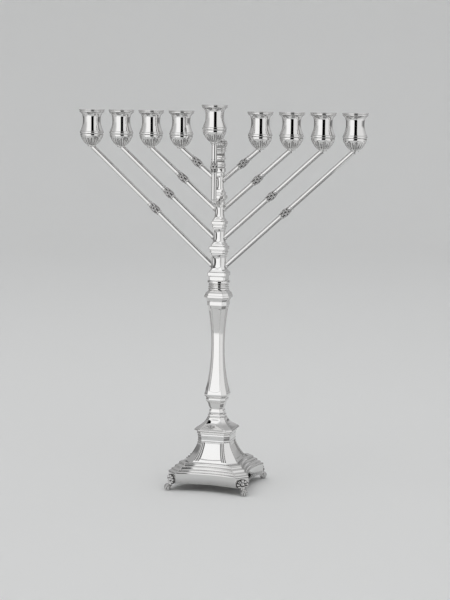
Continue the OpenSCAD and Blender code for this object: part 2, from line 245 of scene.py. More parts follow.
def lathe(build, points, segments, shape=None, close=False):
    """Rings about the Z axis. shape(angle, r, z) gives (change of r, painted shade value)."""
    rings = []
    for r, z, *_ in points:
        ring, shades = [], []
        for angle in circle(segments):
            change, dark = shape(angle, r, z) if shape else (0.0, 0.0)
            ring.append(((r + change) * math.cos(angle), (r + change) * math.sin(angle), z))
            shades.append(dark)
        rings.append(build.ring(ring, shades))
    build.bridge_all(rings)
    if close:
        build.bridge(rings[-1], rings[0])
    return rings


# ---- squared work
FLAT, CANT = 0, 1  # the two kinds of side of a squared section
CANT_STEPS = 6


def side_stations(flat_steps, marks):
    """Places from -1 to 1 across a flat side: even steps, and both sides' places in marks."""
    places = {round(-1 + 2 * i / flat_steps, 4) for i in range(flat_steps + 1)}
    for mark in marks:
        places |= {round(mark, 4), round(-mark, 4)}
    return sorted(places)


def square_ring(h, cut, z, sag, stations, edge, panel):
    """One ring of a square section with canted corners, from the front side round by the right.

    panel(place, z, kind, half width) gives how far a place is sunk, and its painted shade value.
    """
    w = max(h - cut, 0.05)
    cant = Vector((1, 1)).normalized()
    e = min(edge, w * 0.3, cut * math.sqrt(2) * 0.3)
    quarter = []
    for u in stations:
        x = u * (w - e)
        inset, dark = panel(x / w, z, FLAT, w) if panel else (0.0, 0.0)
        hollow_here = sag * (1 - (x / w) ** 2)
        quarter.append((x, -h + hollow_here + inset, dark))
    first, second = Vector((w, -h)), Vector((h, -w))

    def corner(vertex, before, after):
        start, end = vertex - before * e, vertex + after * e
        for t in (0.25, 0.5, 0.75):
            p = bezier(start, vertex, end, t)
            quarter.append((p.x, p.y, 0.0))

    corner(first, Vector((1, 0)), cant)
    normal = Vector((-1, 1)).normalized()
    run_start, run_end = first + cant * e, second - cant * e
    for s in range(CANT_STEPS + 1):
        t = s / CANT_STEPS
        inset, dark = panel(2 * t - 1, z, CANT, cut / math.sqrt(2)) if panel else (0.0, 0.0)
        p = run_start.lerp(run_end, t) + normal * inset
        quarter.append((p.x, p.y, dark))
    corner(second, cant, Vector((0, 1)))
    points, shades = [], []
    for c, s in ((1, 0), (0, 1), (-1, 0), (0, -1)):
        for x, y, dark in quarter:
            points.append((x * c - y * s, x * s + y * c, z))
            shades.append(dark)
    return points, shades


def square_rings(build, points, sag, stations, edge, panel):
    """The rings of a squared outline, bridged from the first to the last."""
    rings = []
    for h, z, cut in points:
        ring, shades = square_ring(h, cut, z, sag(h, z) if sag else 0.0, stations, edge, panel)
        rings.append(build.ring(ring, shades))
    build.bridge_all(rings)
    return rings


def round_ring(build, source, radius, z):
    """A round ring at the same angles as a squared ring."""
    angles = [math.atan2(build.verts[i][1], build.verts[i][0]) for i in source]
    return build.ring([(radius * math.cos(a), radius * math.sin(a), z) for a in angles])


def squared(build, points, sag, stations, edge, panel, bore):
    """A canted square piece on an outline, closed by caps or by a round bore."""
    rings = square_rings(build, points, sag, stations, edge, panel)
    low_z, high_z = points[0][1], points[-1][1]
    if not bore:
        build.cap_ends(rings, low_z, high_z)
        return
    low = round_ring(build, rings[0], bore, low_z)
    high = round_ring(build, rings[-1], bore, high_z)
    build.bridge(low, rings[0])
    build.bridge(rings[-1], high)
    build.bridge(high, low)


def border(share):
    """Places across a side for the crisp border of a panel that ends at this share of its half."""
    return [share + step for step in (0.012, 0.0, -0.02, -0.04, -0.06, -0.08, -0.11)]


def sunk_panel(low, high, share, depth, bow):
    """A sunk panel with bowed ends on the flats: a soft bevel, and a painted shade line at the bevel's
    foot.
    """
    def shape(u, z, kind, w):
        if kind == CANT:
            return 0.0, 0.0
        curve = bow * min(1.0, abs(u) / share) ** 2
        inside = min((share - abs(u)) * w, high - curve - z, z - low - curve)
        return depth * smoothstep(0.0, 0.45, inside), 0.55 * ridge(inside - 0.3, 0.35)
    return shape


def hollow(low, high, depth):
    """Flats that dip towards their middles between two heights, by a share of the half width."""
    def sag(h, z):
        return depth * h * math.sin(math.pi * clamp01((z - low + 1) / (high - low + 2))) ** 0.6
    return sag


def make_squared(name, node, curves, panel=None, sag=None, marks=(), spots=(), edge=0.25, round_off=0.22,
                 bore=0.0, flat_steps=12):
    """A squared piece in place of a node. Heights run up from the seat to the node's top."""
    points = outline(curves, round_off)
    build = Builder()
    squared(build, refine(points, spots), sag, side_stations(flat_steps, marks), edge, panel, bore)
    build.move(raised(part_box(node)[1].z / MM - points[-1][1]))
    new_piece(name, build, "stand", node, POLISHED)


# ---- turned rings
ROD_HOLE = 2.7  # radius of the tie rod's hole
STEM_HOLE = 4.2  # radius of the wider hole through the stem
TURNED_SEGMENTS = 128


def make_turned(name, node, curves, bore=ROD_HOLE):
    """A round piece on the column's axis, up to the node's top."""
    points = outline(curves, 0.15)
    top, seat = points[-1][1], points[0][1]
    build = Builder()
    lathe(build, [(bore, seat)] + points + [(bore, top)], TURNED_SEGMENTS, close=True)
    build.move(raised(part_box(node)[1].z / MM - top))
    new_piece(name, build, "stand", node, POLISHED)


# ---- materials
DRIFT_TINT = (0.955, 0.945, 0.92)  # the tone's other end, as a share of each channel
SPECKLE_GAIN, SPECKLE_BASE = 0.35, -0.17
SHADE_DULL_FROM, SHADE_DULL_TO = 0.18, 0.95  # recess values where the painted shadow colour and the duller finish start and are full
DULL_ROUGHNESS = 0.45
HAIR_STRETCH = (1.0, 1.0, 0.06)  # draws the hairlines out along the height
WAVE_GAIN = 6.0
BUMP_DISTANCE = 0.00001


def link(a, a_out, b, b_in):
    a.id_data.links.new(a.outputs[a_out], b.inputs[b_in])


def add(tree, kind, **values):
    """A new node. Each value goes to the input of its name, or else to the node's setting."""
    node = tree.nodes.new("ShaderNode" + kind)
    for name, value in values.items():
        if name in node.inputs:
            node.inputs[name].default_value = value
        else:
            setattr(node, name, value)
    return node


def surface(name, kind, output, **values):
    """A material whose surface is one shader: the material, its tree and that shader."""
    material = bpy.data.materials.new(name)
    material.use_nodes = True
    tree = material.node_tree
    tree.nodes.clear()
    shader = add(tree, kind, **values)
    link(shader, output, add(tree, "OutputMaterial"), "Surface")
    return material, tree, shader


def noise(source, output, scale, detail, roughness=0.5):
    node = add(source.id_data, "TexNoise", Scale=scale, Detail=detail, Roughness=roughness)
    link(source, output, node, "Vector")
    return node


def blend(kind, b, factor, output):
    """A mix node of this kind towards the value b, by the factor given."""
    node = add(factor.id_data, "Mix", data_type=kind)
    node.inputs["B"].default_value = b
    link(factor, output, node, "Factor")
    return node


def remap(source, output, low, high, to_low=0.0, to_high=1.0, kind="LINEAR"):
    """A value from low to high spread over to_low to to_high."""
    node = add(source.id_data, "MapRange", interpolation_type=kind)
    for name, value in (("From Min", low), ("From Max", high), ("To Min", to_low), ("To Max", to_high)):
        node.inputs[name].default_value = value
    link(source, output, node, "Value")
    return node


def metal(name, colour, shadow, rough, rough_swing, scratch):
    """Polished metal: soft tone drift, hairline scratches, and painted shade in recesses: each vertex's
    painted shade value, speckled, darkens the colour towards the shadow colour and dulls the finish.
    """
    material, tree, shader = surface(name, "BsdfPrincipled", "BSDF", Metallic=1.0)
    place = add(tree, "TexCoord")

    drift = noise(place, "Object", 28.0, 4.0, 0.55)
    tone = blend("RGBA", (*[c * k for c, k in zip(colour, DRIFT_TINT)], 1), drift, "Fac")
    tone.inputs["A"].default_value = (*colour, 1)

    recess_shade = add(tree, "Attribute", attribute_name="recess_shade")
    speckle = noise(place, "Object", 900.0, 3.0, 0.6)
    gather = add(tree, "Math", operation="MULTIPLY_ADD")
    link(speckle, "Fac", gather, 0)
    gather.inputs[1].default_value = SPECKLE_GAIN
    gather.inputs[2].default_value = SPECKLE_BASE
    sum_up = add(tree, "Math", operation="ADD")
    link(recess_shade, "Fac", sum_up, 0)
    link(gather, "Value", sum_up, 1)
    # painted shade: the speckled recess value mixes the colour towards the shadow colour, and the
    # roughness up
    shade_and_dull = remap(sum_up, "Value", SHADE_DULL_FROM, SHADE_DULL_TO, kind="SMOOTHSTEP")
    colour_mix = blend("RGBA", (*shadow, 1), shade_and_dull, "Result")
    link(tone, "Result", colour_mix, "A")
    link(colour_mix, "Result", shader, "Base Color")

    haze = noise(place, "Object", 120.0, 5.0, 0.65)
    gloss = remap(haze, "Fac", 0.35, 0.7, rough, rough + rough_swing)
    rough_mix = blend("FLOAT", DULL_ROUGHNESS, shade_and_dull, "Result")
    link(gloss, "Result", rough_mix, "A")
    link(rough_mix, "Result", shader, "Roughness")

    stretch = add(tree, "Mapping", Scale=HAIR_STRETCH)
    link(place, "Object", stretch, "Vector")
    hair = noise(stretch, "Vector", 2600.0, 2.0, 0.7)
    wave = noise(place, "Object", 60.0, 1.0)
    relief = add(tree, "Math", operation="MULTIPLY_ADD")
    link(wave, "Fac", relief, 0)
    relief.inputs[1].default_value = WAVE_GAIN
    link(hair, "Fac", relief, 2)
    bump = add(tree, "Bump", Strength=scratch, Distance=BUMP_DISTANCE)
    link(relief, "Value", bump, "Height")
    link(bump, "Normal", shader, "Normal")
    return material


# painted shadow colours that the recesses are darkened towards
SHADOW = (0.06, 0.058, 0.055)
POLISHED = metal("polished_silver", (0.80, 0.80, 0.805), SHADOW, 0.03, 0.04, 0.22)
RELIEF = metal("relief_silver", (0.74, 0.74, 0.745), (0.03, 0.028, 0.026), 0.07, 0.08, 0.4)
TUBE = metal("drawn_silver", (0.78, 0.78, 0.785), SHADOW, 0.04, 0.05, 0.3)
STEEL = metal("zinc_steel", (0.60, 0.61, 0.63), (0.16, 0.15, 0.14), 0.24, 0.14, 0.8)


# ---- cups
CUP_SEGMENTS = 160
CUP_FOOT = -39.6  # heights in a cup run down from its rim
WELL_R = 7.5
WELL_FLOOR = -30.0
FLUTES = 20
FLUTE_TOP = -27.9
FLUTE_FOOT = -38.2
FLUTE_DEPTH = 0.62
CUP_GROOVES = ((-25.9, 0.7), (-23.15, 0.55), (-3.2, 0.9), (-1.35, 0.6))  # height, painted shade value


def cup_outline(rim):
    """Outside from the collar up, over the lip, and down the inside to the well's floor."""
    outside = outline([
        [(4.2, CUP_FOOT), (4.2, -38.3)],
        [(4.9, -38), (6.6, -36.7), (8.8, -34.3), (10.6, -31.2), (11.8, -28.6), (12.2, -27.2)],
        [(12.25, -26.2)], [(11.95, -25.9)], [(12.2, -25.6)],
        [(12.55, -25.2), (12.7, -24.4), (12.5, -23.6)], [(12.05, -23.2)], [(12.2, -22.9)],
        [(12.05, -22.4), (11.3, -20.6), (10.1, -17), (9.55, -13.6), (9.5, -10.6), (9.75, -7.6)],
        [(10.2, -6.1), (10.9, -4.8), (12, -3.6)], [(12.5, -3.2)],
        [(12.9, -2.8), (13.2, -2.1), (13, -1.5)], [(12.9, -1.35)],
        [(13.3, -1.15), (rim, -0.7), (13.45, -0.15), (13, 0)]], edge=0.16)
    inside = outline([
        [(12.5, -0.1), (12.2, -0.5), (11.3, -2.2), (9.9, -5.2), (8.4, -9), (WELL_R, -11.5)],
        [(WELL_R, -29.6)], [(7.1, WELL_FLOOR)], [(3.1, WELL_FLOOR)]], edge=0.3)
    return outside + inside


def flute(angle, r, z):
    """Rounded lobes on the lower bowl, long and short by turns, with narrow valleys and a line round each
    lobe's top darkened by painted shade.
    """
    if z > FLUTE_TOP or z < FLUTE_FOOT or r < 4.5:
        return 0.0, 0.0
    lobes = angle / TAU * FLUTES
    across = across_lobe(lobes)
    short = math.floor(lobes) % 2 == 1
    top = FLUTE_TOP - (2.4 if short else 0.6)
    tip = top - 1.5 * across * across
    rise = smoothstep(0, 1.0, tip - z)
    run_out = smoothstep(0, 1.6, z - FLUTE_FOOT)
    crown = math.sqrt(max(0.0, 1 - abs(across) ** 2.2))
    depth = FLUTE_DEPTH * (r / 12.0) ** 0.5
    valley = 1 - smoothstep(0.04, 0.42, 1 - abs(across))
    change = (crown - 0.62) * depth * rise * run_out
    dark = 0.95 * valley * rise * run_out + 0.55 * (1 - rise) * smoothstep(-0.5, 0.2, tip - z + 0.4)
    return change, clamp01(dark)


def cup_shape(angle, r, z):
    """The flutes, with painted shade lines in the grooves round the bowl and painted shade in the well
    that darkens downwards.
    """
    change, dark = flute(angle, r, z)
    if r > 11.5:
        dark = max([dark] + [strength * ridge(z - groove, 0.3) for groove, strength in CUP_GROOVES])
    if r < WELL_R + 0.1 and -31 < z < -12:
        dark = max(dark, 0.3 + 0.5 * smoothstep(-20, WELL_FLOOR, z))
    return change, dark


def make_cup(name, node, body):
    lo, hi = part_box(node)
    centre = (lo + hi) / 2
    build = Builder()
    rings = lathe(build, cup_outline((hi.x - lo.x) / 2 / MM), CUP_SEGMENTS, cup_shape)
    build.cap_ends(rings, CUP_FOOT, WELL_FLOOR)
    build.move(raised(hi.z / MM, centre.x / MM, centre.y / MM))
    new_piece(name, build, body, node, POLISHED)


def make_cups():
    for side, number in ARM_PLACES:
        make_cup(f"fluted_cup_{side}_{number}", f"cup_{side}_{number}", "stand")
    make_cup("fluted_cup_servant", "servant_cup", "servant")


# ---- sleeves
SLEEVE_LENGTH = 15.5
SLEEVE_SEGMENTS = 96
LEAVES = 6
LEAF_TIERS = ((0, 0.13, 0.5), (0.5, 0.32, 0.7), (0, 0.52, 0.93))  # offset, start, end
LEAF_HEIGHT = 0.95
NOTCHES = 3.5


def leaf(angle, t, offset, start, end):
    """Height from 0 to 1 of a tier of pointed leaves, t running along the sleeve."""
    if t <= start or t >= end:
        return 0.0
    across = abs(across_lobe(angle / TAU * LEAVES + offset))
    along = (t - start) / (end - start)
    width = max(0.02, 0.82 - 0.8 * along ** 1.8)
    if across >= width:
        return 0.0
    crown = math.sqrt(1 - (across / width) ** 2)
    vein = 1 - 0.75 * ridge(across, 0.2) * smoothstep(0.1, 0.3, along)
    notch = 1 - 0.55 * ridge(math.sin(along * NOTCHES * math.pi), 0.35)
    return crown * vein * notch * smoothstep(0, 0.12, along)


def sleeve_leaves(angle, _r, z):
    """Tiers of leaves that stand out of a sunk ground darkened by painted shade."""
    t = z / SLEEVE_LENGTH
    if t < 0.13 or t > 0.94:
        return 0.0, 0.0
    height = max(leaf(angle, t, *tier) for tier in LEAF_TIERS)
    change = -LEAF_HEIGHT + LEAF_HEIGHT * height
    return change * smoothstep(0.10, 0.16, t), clamp01(1.15 - 1.25 * height)


def make_sleeve(name, node, body, direction):
    lo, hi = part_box(node)
    r = (hi.y - lo.y if body == "stand" else hi.x - lo.x) / MM / 2
    points = outline([
        [(2.65, 0), (3.2, 0)], [(3.3, 0.4), (3.4, 0.8), (3.3, 1.25)], [(3, 1.5)],
        [(3.3, 1.9), (3.95, 3), (r - 0.02, 5.2), (4.1, 7.6), (3.8, 10.2), (3.45, 12.4), (3.2, 13.8)],
        [(3, 14.2)], [(3.1, 14.6), (3.15, 14.95), (3.05, 15.35)],
        [(2.65, SLEEVE_LENGTH)]], edge=0.1, steps=11)
    build = Builder()
    lathe(build, points, SLEEVE_SEGMENTS, sleeve_leaves, close=True)
    turn = Vector((0, 0, 1)).rotation_difference(direction).to_matrix().to_4x4()
    build.move(Matrix.Translation(node_centre(node) / MM) @ turn @ raised(-SLEEVE_LENGTH / 2))
    new_piece(name, build, body, node, RELIEF)


def arm_direction(side, number):
    """Outwards along an arm: from the middle of its sleeve to its head under the cup."""
    cup = node_centre(f"cup_{side}_{number}")
    sleeve = node_centre(f"sleeve_{side}_{number}")
    head_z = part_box(f"cup_{side}_{number}")[0].z + HEAD_RISE * MM
    return Vector((cup.x - sleeve.x, 0, head_z - sleeve.z)).normalized()


def make_sleeves():
    for side, number in ARM_PLACES:
        make_sleeve(f"bud_sleeve_{side}_{number}", f"sleeve_{side}_{number}", "stand",
                    arm_direction(side, number))
    make_sleeve("bud_sleeve_servant", "servant_sleeve", "servant", Vector((0, 0, 1)))


# ---- arms
SHAFT_FACE = {1: 3.6, 2: 4.25, 3: 5.5, 4: 7.2}  # half width of the shaft that each arm enters
ROOT_DEPTH = 1.2  # how far an arm starts behind that face
TUBE_SEGMENTS = 48
TUBE_R = 2.7
FERRULE_R = 2.95
HEAD_RISE = 0.8  # height of an arm's head above the foot of its cup
BEND_REACH = 3.0
BEND_STEPS = 8


def sweep(build, path, radii):
    """Round rings along a path in the XZ plane, each square to the path."""
    rings = []
    for i, (here, r) in enumerate(zip(path, radii)):
        before, after = path[max(i - 1, 0)], path[min(i + 1, len(path) - 1)]
        ahead = (after - before).normalized()
        side = Vector((0, 1, 0))
        up = side.cross(ahead)
        rings.append(build.ring([tuple(here + (side * math.cos(a) + up * math.sin(a)) * r)
                                 for a in circle(TUBE_SEGMENTS)]))
    build.bridge_all(rings)
    build.cap(rings[0], path[0], True)
    build.cap(rings[-1], path[-1], False)
    return rings


def stretch_of(start, end, profile):
    """Places and radii from start to end: profile holds (distance, radius), negative from the end."""
    length = (end - start).length
    ahead = (end - start).normalized()
    places = [(d if d >= 0 else length + d, r) for d, r in profile]
    return [start + ahead * d for d, _ in places], [r for _, r in places]


def make_arm(name, node, side, number):
    """A raked tube with a collar at the column, a short bend, and an upright ferrule with a ring."""
    cup_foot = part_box(f"cup_{side}_{number}")[0] / MM
    cup_x = node_centre(f"cup_{side}_{number}").x / MM
    ahead = arm_direction(side, number)
    head = Vector((cup_x, 0, cup_foot.z + HEAD_RISE))
    slope = ahead.z / abs(ahead.x)
    root_x = math.copysign(SHAFT_FACE[number] - ROOT_DEPTH, cup_x)
    root = Vector((root_x, 0, head.z - slope * (abs(cup_x) - abs(root_x))))
    bend_start = head - ahead * BEND_REACH
    bend_end = head + Vector((0, 0, -HEAD_RISE - 0.2))
    skin = ROOT_DEPTH / abs(ahead.x)
    path, radii = stretch_of(root, bend_start, [
        (0, TUBE_R), (skin + 0.3, TUBE_R), (skin + 0.35, 3.1), (skin + 0.6, 3.25), (skin + 1, 3.25),
        (skin + 1.25, 3.05), (skin + 1.35, 2.8), (skin + 2.0, TUBE_R), (-1.0, TUBE_R)])
    for i in range(BEND_STEPS + 1):
        t = i / BEND_STEPS
        path.append(bezier(bend_start, head, bend_end, t))
        radii.append(lerp(TUBE_R, FERRULE_R, smoothstep(0.3, 1.0, t)))
    for lift, r in ((0.1, 3.4), (0.35, 3.6), (0.6, 3.6), (1.1, FERRULE_R)):
        path.append(bend_end + Vector((0, 0, lift)))
        radii.append(r)
    build = Builder()
    sweep(build, path, radii)
    new_piece(name, build, "stand", node, TUBE)


# ---- servant's rod and socket
PEG_R = 1.45
SOCKET_BORE = 1.65
SOCKET_FLOOR = -3.8  # heights run up from the seat, the top of the socket
SOCKET_STRAIGHT = 1.2
ELBOW_R = 3.5
ELBOW_STEPS = 12
SOCKET_R = 2.6


def make_servant_tube(seat, axis_y):
    """The servant's straight rod: a peg, a tube with a chamfered foot, and a ferrule with a ring."""
    top = (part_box("servant_cup")[0] / MM).z - seat
    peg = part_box("servant_rod")[0].z / MM - seat
    rod = outline([[(1.1, peg), (PEG_R, peg + 0.3)], [(PEG_R, -0.05)], [(1.5, 0.0), (2.4, 0.05)],
                   [(TUBE_R, 0.3)], [(TUBE_R, top - 2)], [(FERRULE_R, top - 1.7)],
                   [(FERRULE_R, top - 0.9)], [(3.4, top - 0.7)], [(3.5, top - 0.3)],
                   [(FERRULE_R, top)], [(FERRULE_R, top + 1)]], 0.1)
    build = Builder()
    build.cap_ends(lathe(build, refine(rod, ()), TUBE_SEGMENTS), rod[0][1], rod[-1][1])
    build.move(raised(seat, 0, axis_y))
    new_piece("servant_tube", build, "servant", "servant_rod", TUBE)


def join_nearest(build, outer, inner):
    """Faces between two rings whose first points may not line up; returns the inner ring in step."""
    n = len(inner)
    start = Vector(build.verts[outer[0]])
    offset = min(range(n), key=lambda i: (Vector(build.verts[inner[i]]) - start).length)
    second = Vector(build.verts[outer[1]])
    onward = (Vector(build.verts[inner[(offset + 1) % n]]) - second).length
    backward = (Vector(build.verts[inner[(offset - 1) % n]]) - second).length
    turn = 1 if onward < backward else -1
    in_step = [inner[(offset + turn * i) % n] for i in range(n)]
    build.bridge(outer, in_step)
    return in_step


def make_socket(seat, axis_y):
    """The bent socket on the column's front that the servant stands in."""
    reach = -axis_y
    level = -SOCKET_STRAIGHT - ELBOW_R
    elbow_x = reach - ELBOW_R
    path, radii = stretch_of(Vector((3.2, 0, level)), Vector((elbow_x, 0, level)), [
        (0, 2.2), (1.4, 2.2), (1.6, 3.1), (2, 3.3), (2.6, 3.3), (3, 3), (3.2, 2.7), (4, 2.55),
        (-0.6, SOCKET_R)])
    for i in range(ELBOW_STEPS + 1):
        a = math.radians(90 / ELBOW_STEPS * i)
        path.append(Vector((elbow_x + ELBOW_R * math.sin(a), 0, level + ELBOW_R - ELBOW_R * math.cos(a))))
        radii.append(lerp(SOCKET_R, 2.5, i / ELBOW_STEPS))
    for lift, r in ((0.25, 2.5), (0.35, 2.75), (0.6, 2.8), (1.0, 2.8), (SOCKET_STRAIGHT, SOCKET_R)):
        path.append(Vector((reach, 0, level + ELBOW_R + lift)))
        radii.append(r)
    build = Builder()
    outside = sweep(build, path, radii)[-1]
    del build.faces[-len(outside):]  # the mouth is open, so the last cap goes
    mouth, floor = (build.ring([(reach + SOCKET_BORE * math.cos(a), SOCKET_BORE * math.sin(a), z)
                                for a in circle(TUBE_SEGMENTS)]) for z in (0.0, SOCKET_FLOOR))
    build.bridge(join_nearest(build, outside, mouth), floor)
    build.cap(floor, (reach, 0, SOCKET_FLOOR), False)
    build.move(raised(seat) @ Matrix.Rotation(math.radians(-90), 4, "Z"))
    new_piece("servant_socket", build, "stand", "servant_bracket", TUBE)


def make_arms():
    for side, number in ARM_PLACES:
        make_arm(f"raked_arm_{side}_{number}", f"arm_{side}_{number}", side, number)
    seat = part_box("servant_bracket")[1].z / MM
    axis_y = (node_centre("servant_cup") / MM).y
    make_servant_tube(seat, axis_y)
    make_socket(seat, axis_y)


# ---- stem
KNOP = [
    [(8.3, 0), (8.8, 0.5), (8.9, 1.4), (8.8, 2.6)], [(8.2, 3.1)], [(7.75, 3.5), (7.8, 5), (7.7, 7)],
    [(7.3, 7.5)], [(7.1, 8.2), (7.1, 9.6), (7.5, 11)]]
BALUSTER = [
    [(7.9, 0), (8.2, 1.6), (8.9, 4.2), (9.7, 5.8)], [(10.5, 6.3)], [(10.75, 6.7), (10.75, 8.6)],
    [(10.5, 9.1)], [(10.3, 9.5), (10.8, 10.6), (11.6, 11.5)], [(12.15, 12)],
    [(12.35, 12.6), (12.35, 14.4)], [(12.1, 15)],
    [(11.85, 15.5), (11.2, 19), (9.25, 28.5), (7.05, 46.5), (6.3, 66.5), (6.9, 84.5), (8.6, 101),
     (9.3, 106)],
    [(9.7, 107.6)], [(10.1, 109)], [(10.55, 109.6), (10.65, 111.5), (10.55, 113.4)], [(10.2, 114)]]
STEM_KNOP = [
    [(10.6, 0), (11.1, 1.3), (12.3, 3)], [(13.1, 3.5)], [(13.45, 4.1), (13.45, 5.8)], [(13.1, 6.3)],
    [(12.8, 6.5)], [(12.85, 7), (12.2, 8.6), (11, 9.9)], [(10.5, 10.3)], [(9.9, 11.5)]]
RINGS = {
    "lower": [[(9.9, 0)], [(10.5, 0.25), (11, 1.2), (10.5, 2.2)], [(10, 2.6)]],
    "middle": [[(10, 0)], [(10.6, 0.2), (10.9, 0.9), (10.6, 1.6)], [(9.6, 1.9), (9.6, 2.5)],
               [(10.5, 2.7), (10.8, 3.2), (10.5, 3.7)], [(10, 4)]],
    "upper": [[(10.1, 0)], [(10.4, 0.5), (11.2, 1)], [(11.75, 1.5), (11.8, 2.4), (11.6, 3.3)],
              [(10.6, 3.9)], [(9.8, 4.4)]]}
STEM_CANT = 0.37  # corner cut, as a share of the half width
STEM_PANEL = (16.4, 107)  # heights of the sunk panels' ends
STEM_PANEL_SHARE = 0.87


def cants(curves, share):
    """Curves of (half width, height) with each corner cut taken as a share of the half width."""
    return [[(h, z, h * share) for h, z in curve] for curve in curves]


def make_stem():
    make_squared("faceted_knop_base", "base_knop", cants(KNOP, STEM_CANT), bore=ROD_HOLE)
    make_squared("faceted_baluster", "baluster", cants(BALUSTER, STEM_CANT), bore=STEM_HOLE,
                 panel=sunk_panel(*STEM_PANEL, STEM_PANEL_SHARE, 0.28, 1.6),
                 marks=border(STEM_PANEL_SHARE), spots=STEM_PANEL, edge=0.18)
    make_squared("faceted_knop_stem", "baluster_knop", cants(STEM_KNOP, STEM_CANT), bore=STEM_HOLE)
    for place, curves in RINGS.items():
        make_turned(f"turned_ring_{place}", f"ring_{place}", curves)


# ---- column
# For each shaft: its outline, then its panels' (foot, head, share of the width, depth, bow).
SHAFTS = {
    "column_1": ([
        [(9.2, 0, 2), (9, 1, 1.6), (9, 3.6, 1.4)], [(9.8, 4.2, 1)],
        [(10.1, 4.7, 0.9), (10.1, 7.6, 0.9)], [(9.8, 8.1, 1)],
        [(9.2, 8.5, 1.4), (8.6, 9.3, 1.6), (8.5, 9.9, 1.6)],
        [(8.2, 10.2, 2.2), (7.5, 12.4, 2.6), (7.25, 16, 2.7), (7.2, 20, 2.7), (7.35, 24, 2.7),
         (7.9, 27.4, 2.5)],
        [(7.7, 28.1, 2.2)], [(8.2, 28.6, 2), (8.35, 29.6, 1.9), (8.2, 30.5, 2)],
        [(7.8, 30.9, 1.8), (8.4, 32, 1.4)]], (12.4, 26.4, 0.8, 0.32, 1.5)),
    "column_2": ([
        [(8.8, 0, 1.1)], [(9.1, 0.5, 0.9), (9.1, 3, 0.9)], [(8.8, 3.5, 1.1)],
        [(8.2, 3.9, 1.3), (7.5, 4.7, 1.5), (7.4, 5.8, 1.6)],
        [(7, 6.2, 1.9), (6.1, 8.2, 2.1), (5.6, 11, 2.1), (5.5, 15, 2.1), (5.65, 19, 2.1),
         (6.2, 22, 2)],
        [(6, 22.8, 1.8)], [(6.6, 23.3, 1.7), (6.8, 24.3, 1.6), (6.6, 25.3, 1.7)],
        [(6.2, 25.8, 1.5), (6.9, 27, 1.2)]], (8, 21.2, 0.8, 0.28, 1.3)),
    "column_3": ([
        [(7.2, 0, 1.3)], [(7.5, 0.4, 1.2), (7.5, 2.7, 1.2)], [(7.2, 3.1, 1.3)],
        [(6.6, 3.5, 1.4), (6.2, 4.2, 1.5), (6.1, 5.1, 1.5)],
        [(5.7, 5.5, 1.6), (4.8, 7.4, 1.6), (4.35, 10, 1.6), (4.25, 13, 1.6), (4.35, 17, 1.6),
         (4.7, 19.6, 1.6)],
        [(4.6, 20.2, 1.6)], [(5.1, 20.7, 1.7), (5.25, 22, 1.7), (5.1, 23.3, 1.7)],
        [(4.8, 23.8, 1.5), (5, 24.6, 1.4), (5.7, 25.5, 1.2)]], (7.2, 19, 0.78, 0.22, 1.1)),
    "column_4": ([
        [(5.6, 0, 1.3), (6.5, 1.3, 1), (6.8, 2.3, 0.9), (6.8, 4.2, 0.9)], [(6.5, 4.8, 1)],
        [(5.8, 5.4, 1.2), (5.5, 6.1, 1.2)], [(5.8, 6.6, 1.3), (5.9, 7.2, 1.3), (5.7, 7.8, 1.3)],
        [(5.2, 8.4, 1.3)],
        [(4.6, 9.6, 1.4), (3.9, 12, 1.4), (3.6, 14.5, 1.4), (3.6, 20, 1.4), (3.75, 23.4, 1.4),
         (4.1, 25.2, 1.4)],
        [(4.4, 25.7, 1.3), (4.5, 26.5, 1.2), (4.4, 27.3, 1.3)], [(4.1, 27.8, 1.2), (4.3, 28.5, 1.2)]],
        (10.6, 24.6, 0.78, 0.25, 1.2))}
CAPITAL = [
    [(4.3, 0)], [(4.8, 0.6), (5.2, 1.2), (5.2, 4.4), (4.8, 5)], [(4.5, 5.4), (4.5, 6.1)],
    [(4.95, 6.4), (5.2, 7.2), (4.95, 8)], [(4.6, 8.3)], [(4.85, 8.6), (5, 9.2), (4.8, 9.8)],
    [(4.4, 10.2), (4.05, 11.2), (4, 12.4), (4.3, 13.6)], [(4.9, 14), (5.25, 15.1), (4.9, 16.1)],
    [(4.5, 16.6), (4.1, 18.2), (4.1, 20), (4.5, 21.8)], [(5, 22.3), (5.3, 23.1), (5, 23.9)],
    [(4.8, 24.3)], [(5.2, 24.8), (5.4, 25.5), (5.2, 26.2)], [(5, 26.6), (5.2, 27.3)],
    [(5.8, 27.8), (6.3, 28.9), (6.45, 30.5), (6.3, 32), (5.8, 33.1)], [(5.4, 33.5), (5.4, 34)]]
CAPITAL_CUT = 0.26
SHAFT_HOLLOW = 0.16
SCROLLS_Z = (27.9, 33.2)
# height and half height of each hollow moulding, darkened with painted shade
COVES = ((5.8, 0.6), (8.4, 0.35), (12, 1.6), (19.2, 2.6), (24.4, 0.4), (26.7, 0.5))
FINIAL = [
    [(4.6, 0)], [(4.75, 0.5), (4.6, 1.1)], [(3.3, 1.5)],
    [(3.6, 2.2), (3.95, 3.4), (3.6, 5), (2.5, 6.3), (1.1, 7), (0.2, 7.2)]]


def scrolls(u, z, kind, _w):
    """A band of small rounded leaves round the capital's head with painted shade between them, and painted
    shade in the hollow mouldings below it.
    """
    low, high = SCROLLS_Z
    if z < low or z > high:
        return 0.0, max(0.75 * ridge(z - cove, reach) for cove, reach in COVES)
    across = abs(across_lobe((u + 1) / 2 * (4 if kind == FLAT else 2)))
    along = (z - low) / (high - low)
    crown = math.sqrt(max(0.0, 1 - (across * (0.75 + 0.5 * along)) ** 2 - (along * 2 - 1) ** 2))
    heart = 0.45 * ridge(math.hypot(across, (along - 0.45) * 2.2), 0.3)
    height = max(0.0, crown - heart)
    return 0.7 * (1 - height), clamp01(1.1 - 1.7 * height)


